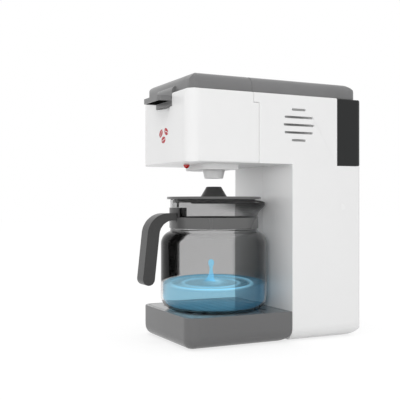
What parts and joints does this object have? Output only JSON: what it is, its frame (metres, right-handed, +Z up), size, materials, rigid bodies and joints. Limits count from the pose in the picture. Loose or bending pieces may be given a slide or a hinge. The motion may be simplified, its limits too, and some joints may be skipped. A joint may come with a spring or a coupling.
{
  "type": "toy coffee maker",
  "caption": "Play coffee machine with a flip-up front lid, rear water tank, slotted drip tray and a clear lidded carafe that slides out from under the brewing head.",
  "frame": {"origin": "middle of the footprint at the floor, halfway between the front of the carafe's handle and the back face", "axes": "+Z up, the front with the carafe faces -Y, +X is the side with the sound slots"},
  "size_m": [0.103, 0.1975, 0.23],
  "materials": {
    "white_shell": "moulded white plastic, soft gloss",
    "pale_plastic": "pale grey moulded plastic",
    "lid_grey": "mid grey moulded plastic, soft gloss",
    "tray_grey": "mid grey moulded plastic, soft gloss",
    "grille_grey": "mid grey moulded plastic",
    "tank_dark": "charcoal moulded plastic",
    "handle_grey": "dark grey moulded plastic",
    "band_grey": "dark grey moulded plastic",
    "funnel_dark": "near black moulded plastic",
    "carafe_clear": "smoky clear plastic",
    "lens_red": "red clear plastic",
    "steel": "zinc plated steel",
    "motor_steel": "steel motor can",
    "basket_grey": "slate grey moulded plastic",
    "works_grey": "grey moulded plastic",
    "rotor_orange": "orange moulded plastic",
    "board_green": "green coated circuit board",
    "black_parts": "black plastic",
    "knob_grey": "dark grey moulded plastic",
    "feet_rubber": "black rubber",
    "seal_rubber": "black rubber",
    "tube_clear": "milky flexible tube",
    "cell_foil": "printed battery foil"
  },
  "bodies": {
    "housing": {"rear_shell_left": "white_shell", "rear_shell_right": "white_shell", "head_front_cover": "white_shell", "head_base_plate": "pale_plastic", "rear_top_cover": "lid_grey", "lid_hinge_pin": "steel", "brew_deck": "pale_plastic", "filter_basket": "basket_grey", "outlet_nozzle": "pale_plastic", "sensor_lens": "lens_red", "sensor_board": "board_green", "tank_socket": "works_grey", "socket_seal": "seal_rubber", "base_tray": "tray_grey", "rubber_feet": "feet_rubber", "tray_screws": "steel", "battery_box": "works_grey", "batteries": "cell_foil", "battery_contacts": "steel", "circuit_board": "board_green", "board_parts": "black_parts", "speaker": "black_parts", "switch_housing": "black_parts", "pump_motor": "motor_steel", "motor_bracket": "works_grey", "pump_housing": "works_grey", "pump_cover": "works_grey", "suction_tube": "tube_clear", "delivery_tube": "tube_clear", "housing_screws": "steel"},
    "flip_lid": {"flip_lid": "lid_grey"},
    "water_tank": {"water_tank": "tank_dark"},
    "drip_grille": {"drip_grille": "grille_grey"},
    "carafe": {"carafe_vessel": "carafe_clear", "neck_band": "band_grey", "carafe_handle": "handle_grey", "handle_lug": "funnel_dark", "lug_screw": "steel"},
    "carafe_lid": {"carafe_lid": "band_grey", "lid_funnel": "funnel_dark"},
    "power_switch": {"switch_knob": "knob_grey"},
    "battery_door": {"battery_door": "pale_plastic", "battery_door_screw": "steel"},
    "pump_rotor": {"pump_rotor": "rotor_orange"}
  },
  "joints": [
    {"name": "flip_lid_hinge", "type": "hinge", "parent": "housing", "child": "flip_lid", "pos_m": [0, -0.01915, 0.2264], "axis": [-1, 0, 0], "range_deg": [0, 88]},
    {"name": "tank_slide", "type": "slide", "parent": "housing", "child": "water_tank", "axis": [0, 1, 0], "range_m": [0, 0.045]},
    {"name": "grille_lift", "type": "slide", "parent": "housing", "child": "drip_grille", "axis": [0, 0, 1], "range_m": [0, 0.0026]},
    {"name": "carafe_slide", "type": "slide", "parent": "drip_grille", "child": "carafe", "axis": [0, -1, 0], "range_m": [0, 0.11]},
    {"name": "carafe_lid_lift", "type": "slide", "parent": "carafe", "child": "carafe_lid", "axis": [0, 0, 1], "range_m": [0, 0.0043]},
    {"name": "switch_slide", "type": "slide", "parent": "housing", "child": "power_switch", "axis": [1, 0, 0], "range_m": [0, 0.005]},
    {"name": "battery_door_slide", "type": "slide", "parent": "housing", "child": "battery_door", "axis": [0, 1, 0], "range_m": [0, 0.02]},
    {"name": "pump_spin", "type": "hinge", "parent": "housing", "child": "pump_rotor", "pos_m": [-0.0095, 0.06205, 0.1181], "axis": [0, 0, 1], "continuous": true}
  ]
}
